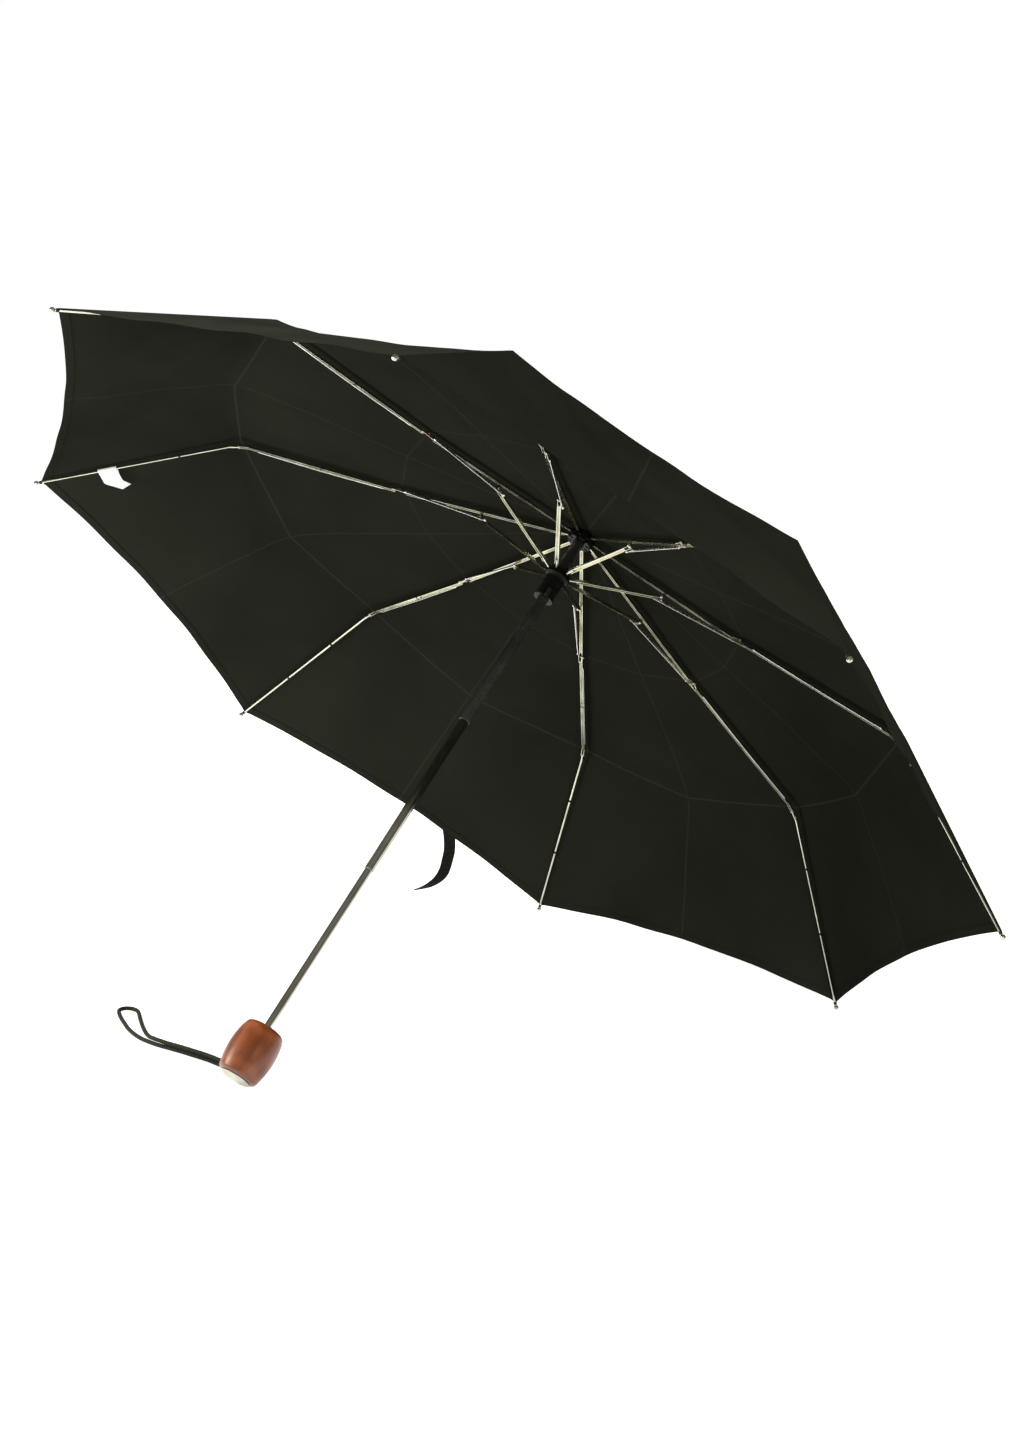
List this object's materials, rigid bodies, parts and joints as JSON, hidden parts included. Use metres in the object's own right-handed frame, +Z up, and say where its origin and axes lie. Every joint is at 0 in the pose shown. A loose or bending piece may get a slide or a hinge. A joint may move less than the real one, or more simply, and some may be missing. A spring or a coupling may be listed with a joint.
{
  "type": "folding umbrella",
  "caption": "Open telescopic folding umbrella lying on its handle and rib tips, with jointed ribs, a black canopy, a barrel handle and a wrist cord.",
  "frame": {"origin": "centre of the bounding box's base, on the floor that the handle and two rib tips touch, measured without the wrist cord", "axes": "+Z up from the floor; +X across the canopy, square to the plane that holds the shaft and the floor's upright; the shaft lies in the YZ plane and rises towards +Y from the handle to the top"},
  "size_m": [0.9096, 0.6788, 0.6085],
  "materials": {
    "handle_knob": "glossy red-brown lacquer",
    "handle_cap": "polished",
    "wrist_cord": "braided nylon",
    "lower_tube": "polished plated tube",
    "middle_tube": "polished plated tube",
    "middle_tube_catch": "plated spring leaf",
    "upper_tube": "polished plated tube",
    "upper_tube_catch": "plated spring leaf",
    "top_notch": "glossy black",
    "notch_ring": "wire ring",
    "top_cap": "glossy black",
    "canopy": "black woven pongee",
    "closing_strap": "black woven pongee",
    "care_label": "white satin",
    "runner": "glossy black",
    "runner_ring": "wire ring",
    "runner_catch": "plated spring leaf",
    "top_rib_1": "bright nickel plate",
    "stretcher_1": "bright nickel plate",
    "link_bar_1": "bright nickel plate",
    "mid_rib_1": "bright nickel plate",
    "outer_rib_1": "bright nickel plate",
    "top_rib_2": "bright nickel plate",
    "stretcher_2": "bright nickel plate",
    "link_bar_2": "bright nickel plate",
    "mid_rib_2": "bright nickel plate",
    "outer_rib_2": "bright nickel plate",
    "top_rib_3": "bright nickel plate",
    "stretcher_3": "bright nickel plate",
    "link_bar_3": "bright nickel plate",
    "mid_rib_3": "bright nickel plate",
    "outer_rib_3": "bright nickel plate",
    "top_rib_4": "bright nickel plate",
    "stretcher_4": "bright nickel plate",
    "link_bar_4": "bright nickel plate",
    "mid_rib_4": "bright nickel plate",
    "outer_rib_4": "bright nickel plate",
    "top_rib_5": "bright nickel plate",
    "stretcher_5": "bright nickel plate",
    "link_bar_5": "bright nickel plate",
    "mid_rib_5": "bright nickel plate",
    "outer_rib_5": "bright nickel plate",
    "top_rib_6": "bright nickel plate",
    "stretcher_6": "bright nickel plate",
    "link_bar_6": "bright nickel plate",
    "mid_rib_6": "bright nickel plate",
    "outer_rib_6": "bright nickel plate",
    "top_rib_7": "bright nickel plate",
    "stretcher_7": "bright nickel plate",
    "link_bar_7": "bright nickel plate",
    "mid_rib_7": "bright nickel plate",
    "outer_rib_7": "bright nickel plate",
    "top_rib_8": "bright nickel plate",
    "stretcher_8": "bright nickel plate",
    "link_bar_8": "bright nickel plate",
    "mid_rib_8": "bright nickel plate",
    "outer_rib_8": "bright nickel plate"
  },
  "bodies": {
    "handle": {"handle_knob": "handle_knob", "handle_cap": "handle_cap", "wrist_cord": "wrist_cord", "lower_tube": "lower_tube"},
    "middle_tube": {"middle_tube": "middle_tube", "middle_tube_catch": "middle_tube_catch"},
    "upper_tube": {"upper_tube": "upper_tube", "upper_tube_catch": "upper_tube_catch", "top_notch": "top_notch", "notch_ring": "notch_ring", "top_cap": "top_cap", "canopy": "canopy", "closing_strap": "closing_strap", "care_label": "care_label"},
    "runner": {"runner": "runner", "runner_ring": "runner_ring"},
    "runner_catch": {"runner_catch": "runner_catch"},
    "top_rib_1": {"top_rib_1": "top_rib_1"},
    "stretcher_1": {"stretcher_1": "stretcher_1"},
    "link_bar_1": {"link_bar_1": "link_bar_1"},
    "mid_rib_1": {"mid_rib_1": "mid_rib_1"},
    "outer_rib_1": {"outer_rib_1": "outer_rib_1"},
    "top_rib_2": {"top_rib_2": "top_rib_2"},
    "stretcher_2": {"stretcher_2": "stretcher_2"},
    "link_bar_2": {"link_bar_2": "link_bar_2"},
    "mid_rib_2": {"mid_rib_2": "mid_rib_2"},
    "outer_rib_2": {"outer_rib_2": "outer_rib_2"},
    "top_rib_3": {"top_rib_3": "top_rib_3"},
    "stretcher_3": {"stretcher_3": "stretcher_3"},
    "link_bar_3": {"link_bar_3": "link_bar_3"},
    "mid_rib_3": {"mid_rib_3": "mid_rib_3"},
    "outer_rib_3": {"outer_rib_3": "outer_rib_3"},
    "top_rib_4": {"top_rib_4": "top_rib_4"},
    "stretcher_4": {"stretcher_4": "stretcher_4"},
    "link_bar_4": {"link_bar_4": "link_bar_4"},
    "mid_rib_4": {"mid_rib_4": "mid_rib_4"},
    "outer_rib_4": {"outer_rib_4": "outer_rib_4"},
    "top_rib_5": {"top_rib_5": "top_rib_5"},
    "stretcher_5": {"stretcher_5": "stretcher_5"},
    "link_bar_5": {"link_bar_5": "link_bar_5"},
    "mid_rib_5": {"mid_rib_5": "mid_rib_5"},
    "outer_rib_5": {"outer_rib_5": "outer_rib_5"},
    "top_rib_6": {"top_rib_6": "top_rib_6"},
    "stretcher_6": {"stretcher_6": "stretcher_6"},
    "link_bar_6": {"link_bar_6": "link_bar_6"},
    "mid_rib_6": {"mid_rib_6": "mid_rib_6"},
    "outer_rib_6": {"outer_rib_6": "outer_rib_6"},
    "top_rib_7": {"top_rib_7": "top_rib_7"},
    "stretcher_7": {"stretcher_7": "stretcher_7"},
    "link_bar_7": {"link_bar_7": "link_bar_7"},
    "mid_rib_7": {"mid_rib_7": "mid_rib_7"},
    "outer_rib_7": {"outer_rib_7": "outer_rib_7"},
    "top_rib_8": {"top_rib_8": "top_rib_8"},
    "stretcher_8": {"stretcher_8": "stretcher_8"},
    "link_bar_8": {"link_bar_8": "link_bar_8"},
    "mid_rib_8": {"mid_rib_8": "mid_rib_8"},
    "outer_rib_8": {"outer_rib_8": "outer_rib_8"}
  },
  "joints": [
    {"name": "lower_telescope", "type": "slide", "parent": "handle", "child": "middle_tube", "axis": [0, -0.6672, -0.7449], "range_m": [0, 0.156]},
    {"name": "upper_telescope", "type": "slide", "parent": "middle_tube", "child": "upper_tube", "axis": [0, -0.6672, -0.7449], "range_m": [0, 0.156]},
    {"name": "rib_fold", "type": "hinge", "parent": "upper_tube", "child": "top_rib_1", "pos_m": [-0.00364, 0.11019, 0.4405], "axis": [-0.9239, 0.285, -0.2553], "range_deg": [-74.84, 0], "deforming": ["canopy", "closing_strap", "care_label"]},
    {"name": "stretcher_1_hinge", "type": "hinge", "parent": "top_rib_1", "child": "stretcher_1", "pos_m": [-0.03584, 0.0381, 0.47656], "axis": [-0.9239, 0.285, -0.2553], "range_deg": [0, 149.67]},
    {"name": "mid_rib_1_hinge", "type": "hinge", "parent": "top_rib_1", "child": "mid_rib_1", "pos_m": [-0.06705, -0.02237, 0.52195], "axis": [-0.9239, 0.285, -0.2553], "range_deg": [0, 177.9]},
    {"name": "outer_rib_1_hinge", "type": "hinge", "parent": "mid_rib_1", "child": "outer_rib_1", "pos_m": [-0.12915, -0.15217, 0.60178], "axis": [-0.9239, 0.285, -0.2553], "range_deg": [-149.25, 0]},
    {"name": "link_bar_1_hinge", "type": "hinge", "parent": "stretcher_1", "child": "link_bar_1", "pos_m": [-0.03325, 0.04163, 0.4711], "axis": [-0.9239, 0.285, -0.2553], "range_deg": [-147.48, 0]},
    {"name": "top_rib_2_hinge", "type": "hinge", "parent": "upper_tube", "child": "top_rib_2", "pos_m": [-0.00878, 0.11402, 0.43707], "axis": [-0.3827, 0.6882, -0.6164], "range_deg": [-74.84, 0]},
    {"name": "stretcher_2_hinge", "type": "hinge", "parent": "top_rib_2", "child": "stretcher_2", "pos_m": [-0.08653, 0.07586, 0.44274], "axis": [-0.3827, 0.6882, -0.6164], "range_deg": [0, 149.67]},
    {"name": "mid_rib_2_hinge", "type": "hinge", "parent": "top_rib_2", "child": "mid_rib_2", "pos_m": [-0.16186, 0.04825, 0.45868], "axis": [-0.3827, 0.6882, -0.6164], "range_deg": [0, 177.9]},
    {"name": "outer_rib_2_hinge", "type": "hinge", "parent": "mid_rib_2", "child": "outer_rib_2", "pos_m": [-0.3118, -0.01612, 0.47991], "axis": [-0.3827, 0.6882, -0.6164], "range_deg": [-149.25, 0]},
    {"name": "link_bar_2_hinge", "type": "hinge", "parent": "stretcher_2", "child": "link_bar_2", "pos_m": [-0.08026, 0.07665, 0.43973], "axis": [-0.3827, 0.6882, -0.6164], "range_deg": [-147.48, 0]},
    {"name": "top_rib_3_hinge", "type": "hinge", "parent": "upper_tube", "child": "top_rib_3", "pos_m": [-0.00878, 0.11944, 0.43222], "axis": [0.3827, 0.6882, -0.6164], "range_deg": [-74.84, 0]},
    {"name": "stretcher_3_hinge", "type": "hinge", "parent": "top_rib_3", "child": "stretcher_3", "pos_m": [-0.08653, 0.12926, 0.39491], "axis": [0.3827, 0.6882, -0.6164], "range_deg": [0, 149.67]},
    {"name": "mid_rib_3_hinge", "type": "hinge", "parent": "top_rib_3", "child": "mid_rib_3", "pos_m": [-0.16186, 0.14813, 0.36922], "axis": [0.3827, 0.6882, -0.6164], "range_deg": [0, 177.9]},
    {"name": "outer_rib_3_hinge", "type": "hinge", "parent": "mid_rib_3", "child": "outer_rib_3", "pos_m": [-0.3118, 0.17629, 0.30756], "axis": [0.3827, 0.6882, -0.6164], "range_deg": [-149.25, 0]},
    {"name": "link_bar_3_hinge", "type": "hinge", "parent": "stretcher_3", "child": "link_bar_3", "pos_m": [-0.08026, 0.12618, 0.39537], "axis": [0.3827, 0.6882, -0.6164], "range_deg": [-147.48, 0]},
    {"name": "top_rib_4_hinge", "type": "hinge", "parent": "upper_tube", "child": "top_rib_4", "pos_m": [-0.00364, 0.12327, 0.42879], "axis": [0.9239, 0.285, -0.2553], "range_deg": [-74.84, 0]},
    {"name": "stretcher_4_hinge", "type": "hinge", "parent": "top_rib_4", "child": "stretcher_4", "pos_m": [-0.03584, 0.16701, 0.36109], "axis": [0.9239, 0.285, -0.2553], "range_deg": [0, 149.67]},
    {"name": "mid_rib_4_hinge", "type": "hinge", "parent": "top_rib_4", "child": "mid_rib_4", "pos_m": [-0.06705, 0.21876, 0.30595], "axis": [0.9239, 0.285, -0.2553], "range_deg": [0, 177.9]},
    {"name": "outer_rib_4_hinge", "type": "hinge", "parent": "mid_rib_4", "child": "outer_rib_4", "pos_m": [-0.12915, 0.31234, 0.1857], "axis": [0.9239, 0.285, -0.2553], "range_deg": [-149.25, 0]},
    {"name": "link_bar_4_hinge", "type": "hinge", "parent": "stretcher_4", "child": "link_bar_4", "pos_m": [-0.03325, 0.1612, 0.364], "axis": [0.9239, 0.285, -0.2553], "range_deg": [-147.48, 0]},
    {"name": "top_rib_5_hinge", "type": "hinge", "parent": "upper_tube", "child": "top_rib_5", "pos_m": [0.00364, 0.12327, 0.42879], "axis": [0.9239, -0.285, 0.2553], "range_deg": [-74.84, 0]},
    {"name": "stretcher_5_hinge", "type": "hinge", "parent": "top_rib_5", "child": "stretcher_5", "pos_m": [0.03584, 0.16701, 0.36109], "axis": [0.9239, -0.285, 0.2553], "range_deg": [0, 149.67]},
    {"name": "mid_rib_5_hinge", "type": "hinge", "parent": "top_rib_5", "child": "mid_rib_5", "pos_m": [0.06705, 0.21876, 0.30595], "axis": [0.9239, -0.285, 0.2553], "range_deg": [0, 177.9]},
    {"name": "outer_rib_5_hinge", "type": "hinge", "parent": "mid_rib_5", "child": "outer_rib_5", "pos_m": [0.12915, 0.31234, 0.1857], "axis": [0.9239, -0.285, 0.2553], "range_deg": [-149.25, 0]},
    {"name": "link_bar_5_hinge", "type": "hinge", "parent": "stretcher_5", "child": "link_bar_5", "pos_m": [0.03325, 0.1612, 0.364], "axis": [0.9239, -0.285, 0.2553], "range_deg": [-147.48, 0]},
    {"name": "top_rib_6_hinge", "type": "hinge", "parent": "upper_tube", "child": "top_rib_6", "pos_m": [0.00878, 0.11944, 0.43222], "axis": [0.3827, -0.6882, 0.6164], "range_deg": [-74.84, 0]},
    {"name": "stretcher_6_hinge", "type": "hinge", "parent": "top_rib_6", "child": "stretcher_6", "pos_m": [0.08653, 0.12926, 0.39491], "axis": [0.3827, -0.6882, 0.6164], "range_deg": [0, 149.67]},
    {"name": "mid_rib_6_hinge", "type": "hinge", "parent": "top_rib_6", "child": "mid_rib_6", "pos_m": [0.16186, 0.14813, 0.36922], "axis": [0.3827, -0.6882, 0.6164], "range_deg": [0, 177.9]},
    {"name": "outer_rib_6_hinge", "type": "hinge", "parent": "mid_rib_6", "child": "outer_rib_6", "pos_m": [0.3118, 0.17629, 0.30756], "axis": [0.3827, -0.6882, 0.6164], "range_deg": [-149.25, 0]},
    {"name": "link_bar_6_hinge", "type": "hinge", "parent": "stretcher_6", "child": "link_bar_6", "pos_m": [0.08026, 0.12618, 0.39537], "axis": [0.3827, -0.6882, 0.6164], "range_deg": [-147.48, 0]},
    {"name": "top_rib_7_hinge", "type": "hinge", "parent": "upper_tube", "child": "top_rib_7", "pos_m": [0.00878, 0.11402, 0.43707], "axis": [-0.3827, -0.6882, 0.6164], "range_deg": [-74.84, 0]},
    {"name": "stretcher_7_hinge", "type": "hinge", "parent": "top_rib_7", "child": "stretcher_7", "pos_m": [0.08653, 0.07586, 0.44274], "axis": [-0.3827, -0.6882, 0.6164], "range_deg": [0, 149.67]},
    {"name": "mid_rib_7_hinge", "type": "hinge", "parent": "top_rib_7", "child": "mid_rib_7", "pos_m": [0.16186, 0.04825, 0.45868], "axis": [-0.3827, -0.6882, 0.6164], "range_deg": [0, 177.9]},
    {"name": "outer_rib_7_hinge", "type": "hinge", "parent": "mid_rib_7", "child": "outer_rib_7", "pos_m": [0.3118, -0.01612, 0.47991], "axis": [-0.3827, -0.6882, 0.6164], "range_deg": [-149.25, 0]},
    {"name": "link_bar_7_hinge", "type": "hinge", "parent": "stretcher_7", "child": "link_bar_7", "pos_m": [0.08026, 0.07665, 0.43973], "axis": [-0.3827, -0.6882, 0.6164], "range_deg": [-147.48, 0]},
    {"name": "top_rib_8_hinge", "type": "hinge", "parent": "upper_tube", "child": "top_rib_8", "pos_m": [0.00364, 0.11019, 0.4405], "axis": [-0.9239, -0.285, 0.2553], "range_deg": [-74.84, 0]},
    {"name": "stretcher_8_hinge", "type": "hinge", "parent": "top_rib_8", "child": "stretcher_8", "pos_m": [0.03584, 0.0381, 0.47656], "axis": [-0.9239, -0.285, 0.2553], "range_deg": [0, 149.67]},
    {"name": "mid_rib_8_hinge", "type": "hinge", "parent": "top_rib_8", "child": "mid_rib_8", "pos_m": [0.06705, -0.02237, 0.52195], "axis": [-0.9239, -0.285, 0.2553], "range_deg": [0, 177.9]},
    {"name": "outer_rib_8_hinge", "type": "hinge", "parent": "mid_rib_8", "child": "outer_rib_8", "pos_m": [0.12915, -0.15217, 0.60178], "axis": [-0.9239, -0.285, 0.2553], "range_deg": [-149.25, 0]},
    {"name": "link_bar_8_hinge", "type": "hinge", "parent": "stretcher_8", "child": "link_bar_8", "pos_m": [0.03325, 0.04163, 0.4711], "axis": [-0.9239, -0.285, 0.2553], "range_deg": [-147.48, 0]},
    {"name": "runner_hinge", "type": "hinge", "parent": "stretcher_1", "child": "runner", "pos_m": [-0.00364, 0.08185, 0.40886], "axis": [-0.9239, 0.285, -0.2553], "range_deg": [-74.84, 0]},
    {"name": "runner_catch_press", "type": "slide", "parent": "runner", "child": "runner_catch", "axis": [-0.7071, 0.5267, -0.4718], "range_m": [0, 0.001], "stiffness_N_per_m": 500, "springref_m": -0.002}
  ],
  "couplings": [
    {"joint": "stretcher_1_hinge", "follows": "rib_fold", "ratio": -2},
    {"joint": "mid_rib_1_hinge", "follows": "rib_fold", "ratio": -2.3772},
    {"joint": "outer_rib_1_hinge", "follows": "rib_fold", "ratio": 1.9944},
    {"joint": "link_bar_1_hinge", "follows": "rib_fold", "ratio": 1.9707},
    {"joint": "top_rib_2_hinge", "follows": "rib_fold", "ratio": 1},
    {"joint": "stretcher_2_hinge", "follows": "rib_fold", "ratio": -2},
    {"joint": "mid_rib_2_hinge", "follows": "rib_fold", "ratio": -2.3772},
    {"joint": "outer_rib_2_hinge", "follows": "rib_fold", "ratio": 1.9944},
    {"joint": "link_bar_2_hinge", "follows": "rib_fold", "ratio": 1.9707},
    {"joint": "top_rib_3_hinge", "follows": "rib_fold", "ratio": 1},
    {"joint": "stretcher_3_hinge", "follows": "rib_fold", "ratio": -2},
    {"joint": "mid_rib_3_hinge", "follows": "rib_fold", "ratio": -2.3772},
    {"joint": "outer_rib_3_hinge", "follows": "rib_fold", "ratio": 1.9944},
    {"joint": "link_bar_3_hinge", "follows": "rib_fold", "ratio": 1.9707},
    {"joint": "top_rib_4_hinge", "follows": "rib_fold", "ratio": 1},
    {"joint": "stretcher_4_hinge", "follows": "rib_fold", "ratio": -2},
    {"joint": "mid_rib_4_hinge", "follows": "rib_fold", "ratio": -2.3772},
    {"joint": "outer_rib_4_hinge", "follows": "rib_fold", "ratio": 1.9944},
    {"joint": "link_bar_4_hinge", "follows": "rib_fold", "ratio": 1.9707},
    {"joint": "top_rib_5_hinge", "follows": "rib_fold", "ratio": 1},
    {"joint": "stretcher_5_hinge", "follows": "rib_fold", "ratio": -2},
    {"joint": "mid_rib_5_hinge", "follows": "rib_fold", "ratio": -2.3772},
    {"joint": "outer_rib_5_hinge", "follows": "rib_fold", "ratio": 1.9944},
    {"joint": "link_bar_5_hinge", "follows": "rib_fold", "ratio": 1.9707},
    {"joint": "top_rib_6_hinge", "follows": "rib_fold", "ratio": 1},
    {"joint": "stretcher_6_hinge", "follows": "rib_fold", "ratio": -2},
    {"joint": "mid_rib_6_hinge", "follows": "rib_fold", "ratio": -2.3772},
    {"joint": "outer_rib_6_hinge", "follows": "rib_fold", "ratio": 1.9944},
    {"joint": "link_bar_6_hinge", "follows": "rib_fold", "ratio": 1.9707},
    {"joint": "top_rib_7_hinge", "follows": "rib_fold", "ratio": 1},
    {"joint": "stretcher_7_hinge", "follows": "rib_fold", "ratio": -2},
    {"joint": "mid_rib_7_hinge", "follows": "rib_fold", "ratio": -2.3772},
    {"joint": "outer_rib_7_hinge", "follows": "rib_fold", "ratio": 1.9944},
    {"joint": "link_bar_7_hinge", "follows": "rib_fold", "ratio": 1.9707},
    {"joint": "top_rib_8_hinge", "follows": "rib_fold", "ratio": 1},
    {"joint": "stretcher_8_hinge", "follows": "rib_fold", "ratio": -2},
    {"joint": "mid_rib_8_hinge", "follows": "rib_fold", "ratio": -2.3772},
    {"joint": "outer_rib_8_hinge", "follows": "rib_fold", "ratio": 1.9944},
    {"joint": "link_bar_8_hinge", "follows": "rib_fold", "ratio": 1.9707},
    {"joint": "runner_hinge", "follows": "rib_fold", "ratio": 1}
  ]
}
